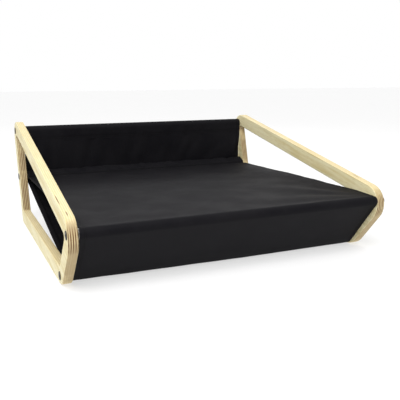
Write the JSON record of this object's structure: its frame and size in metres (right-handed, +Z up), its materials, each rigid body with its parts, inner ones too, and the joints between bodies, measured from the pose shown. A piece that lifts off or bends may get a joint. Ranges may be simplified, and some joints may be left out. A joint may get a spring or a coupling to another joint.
{
  "type": "dog bed",
  "caption": "Low dog bed with two looped plywood side frames, metal cross rails, a fabric back and a taut fabric seat with a sloping front.",
  "frame": {"origin": "centre of the bed's footprint, on the surface it stands on", "axes": "+X to the bed's right-hand side seen from its open front, -Y towards the front, +Z up"},
  "size_m": [0.6588, 0.6433, 0.2524],
  "materials": {
    "birch_plywood": "sanded and clear-oiled, laminated edges showing",
    "rail_metal": "drawn tube, satin",
    "bolt_steel": "blackened, satin",
    "insert_steel": "zinc plated",
    "black_cloth": "coated plain weave, low sheen"
  },
  "bodies": {
    "root": {"left_side_frame": "birch_plywood", "right_side_frame": "birch_plywood", "top_rear_rail": "rail_metal", "seat_rear_rail": "rail_metal", "front_upper_rail": "rail_metal", "front_lower_rail": "rail_metal", "top_rear_insert_left": "insert_steel", "top_rear_insert_right": "insert_steel", "seat_rear_insert_left": "insert_steel", "seat_rear_insert_right": "insert_steel", "front_upper_insert_left": "insert_steel", "front_upper_insert_right": "insert_steel", "front_lower_insert_left": "insert_steel", "front_lower_insert_right": "insert_steel", "top_rear_bolt_left": "bolt_steel", "top_rear_bolt_right": "bolt_steel", "seat_rear_bolt_left": "bolt_steel", "seat_rear_bolt_right": "bolt_steel", "front_upper_bolt_left": "bolt_steel", "front_upper_bolt_right": "bolt_steel", "front_lower_bolt_left": "bolt_steel", "front_lower_bolt_right": "bolt_steel", "back_panel": "black_cloth", "seat_panel": "black_cloth", "front_panel": "black_cloth", "under_panel": "black_cloth"}
  },
  "joints": []
}
